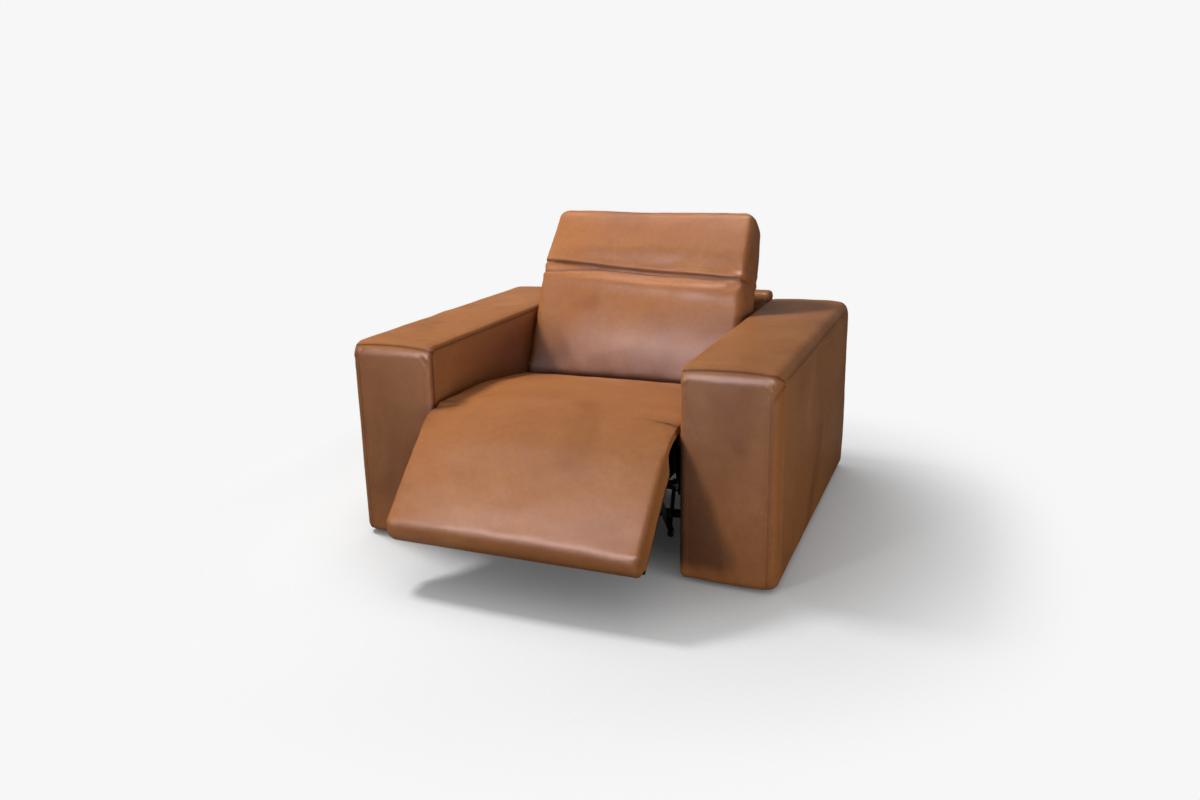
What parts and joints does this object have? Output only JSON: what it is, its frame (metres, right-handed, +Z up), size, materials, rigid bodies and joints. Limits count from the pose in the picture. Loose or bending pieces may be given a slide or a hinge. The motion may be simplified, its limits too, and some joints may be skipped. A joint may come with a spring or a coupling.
{
  "type": "recliner armchair",
  "caption": "Wide block-arm leather power recliner with a chaise footrest, wall-saver reclining back and tilting headrest",
  "frame": {"origin": "on the floor, below the middle of the whole length from the footrest's front to the rear of the arms and midway between the arms", "axes": "+X is the sitter's left, -Y is the front and +Z is up"},
  "size_m": [1.21, 1.3386, 0.8733],
  "materials": {
    "leather": "cognac pull-up leather, mottled and softly waxed, tone-on-tone stitching",
    "foam": "cut polyurethane foam with a polyester wrap",
    "wood": "plywood and hardwood, unfinished",
    "black_steel": "black powder coat",
    "bright_steel": "zinc-plated",
    "nylon": "natural nylon",
    "button_metal": "satin metallised",
    "dark_plastic": "moulded, fine grain",
    "foot_plastic": "moulded glides"
  },
  "bodies": {
    "base": {"arm_cover_left": "leather", "arm_cover_right": "leather", "arm_foam_left": "foam", "arm_foam_right": "foam", "arm_frame_left": "wood", "arm_frame_right": "wood", "outside_back_cover": "leather", "outside_back_frame": "wood", "base_channel_left": "black_steel", "base_channel_right": "black_steel", "recline_track_left": "black_steel", "recline_track_right": "black_steel", "front_cross_tube": "black_steel", "rear_cross_tube": "black_steel", "frame_bolts": "bright_steel", "glide_feet": "foot_plastic", "recline_motor": "dark_plastic", "recline_rail": "bright_steel", "power_supply": "dark_plastic", "power_inlet": "dark_plastic", "control_panel": "dark_plastic"},
    "seat": {"seat_cover": "leather", "seat_foam": "foam", "seat_plate_left": "black_steel", "seat_plate_right": "black_steel", "seat_rails": "wood", "seat_springs": "bright_steel", "seat_rear_tube": "black_steel", "slide_blocks": "nylon", "recline_nut": "black_steel", "footrest_motor": "dark_plastic", "footrest_rail": "bright_steel", "seat_pins": "bright_steel"},
    "footrest": {"footrest_cover": "leather", "footrest_foam": "foam", "footrest_board": "wood", "footrest_bracket_left": "black_steel", "footrest_bracket_right": "black_steel", "footrest_pins": "bright_steel"},
    "crank": {"torque_tube": "black_steel", "drive_lever": "black_steel", "crank_pins": "bright_steel"},
    "links": {"footrest_links": "black_steel"},
    "footrest_nut": {"footrest_carriage": "nylon"},
    "back": {"back_cover": "leather", "back_foam": "foam", "back_frame": "wood", "back_brackets": "black_steel", "headrest_yoke": "black_steel", "headrest_motor": "dark_plastic"},
    "headrest": {"headrest_cover": "leather", "headrest_foam": "foam", "headrest_board": "wood", "headrest_bracket": "black_steel"},
    "headrest_nut": {"headrest_carriage": "nylon"},
    "recline_button": {"button_recline": "button_metal"},
    "return_button": {"button_return": "button_metal"},
    "head_up_button": {"button_head_up": "button_metal"},
    "head_down_button": {"button_head_down": "button_metal"}
  },
  "joints": [
    {"name": "seat_glide", "type": "slide", "parent": "base", "child": "seat", "axis": [0, -1, 0], "range_m": [0, 0.14]},
    {"name": "back_recline", "type": "hinge", "parent": "seat", "child": "back", "pos_m": [0, 0.2693, 0.33], "axis": [-1, 0, 0], "range_deg": [0, 28]},
    {"name": "headrest_tilt", "type": "hinge", "parent": "back", "child": "headrest", "pos_m": [0, 0.3808, 0.66763], "axis": [1, 0, 0], "range_deg": [0, 35]},
    {"name": "headrest_nut_run", "type": "slide", "parent": "back", "child": "headrest_nut", "axis": [0, 0.3665, 0.9304], "range_m": [-0.0001, 0.01814]},
    {"name": "footrest_lift", "type": "hinge", "parent": "seat", "child": "footrest", "pos_m": [0, -0.3987, 0.37], "axis": [-1, 0, 0], "range_deg": [-46, 44]},
    {"name": "crank_turn", "type": "hinge", "parent": "seat", "child": "crank", "pos_m": [0, -0.2787, 0.22], "axis": [-1, 0, 0], "range_deg": [-46, 44]},
    {"name": "link_swing", "type": "hinge", "parent": "crank", "child": "links", "pos_m": [0, -0.31753, 0.10187], "axis": [-1, 0, 0], "range_deg": [-44, 46]},
    {"name": "footrest_nut_run", "type": "slide", "parent": "seat", "child": "footrest_nut", "axis": [0, -1, 0], "range_m": [-0.03743, 0.03581]},
    {"name": "recline_press", "type": "slide", "parent": "base", "child": "recline_button", "axis": [1, 0, 0], "range_m": [0, 0.0015], "stiffness_N_per_m": 400, "springref_m": -0.001},
    {"name": "return_press", "type": "slide", "parent": "base", "child": "return_button", "axis": [1, 0, 0], "range_m": [0, 0.0015], "stiffness_N_per_m": 400, "springref_m": -0.001},
    {"name": "head_up_press", "type": "slide", "parent": "base", "child": "head_up_button", "axis": [1, 0, 0], "range_m": [0, 0.0015], "stiffness_N_per_m": 400, "springref_m": -0.001},
    {"name": "head_down_press", "type": "slide", "parent": "base", "child": "head_down_button", "axis": [1, 0, 0], "range_m": [0, 0.0015], "stiffness_N_per_m": 400, "springref_m": -0.001}
  ],
  "couplings": [
    {"joint": "back_recline", "follows": "seat_glide", "rad_per_m": 3.4907},
    {"joint": "headrest_nut_run", "follows": "headrest_tilt", "m_per_rad": 0.029536},
    {"joint": "crank_turn", "follows": "footrest_lift", "ratio": 1},
    {"joint": "link_swing", "follows": "footrest_lift", "ratio": -1},
    {"joint": "footrest_nut_run", "follows": "footrest_lift", "m_per_rad": 0.0465}
  ]
}
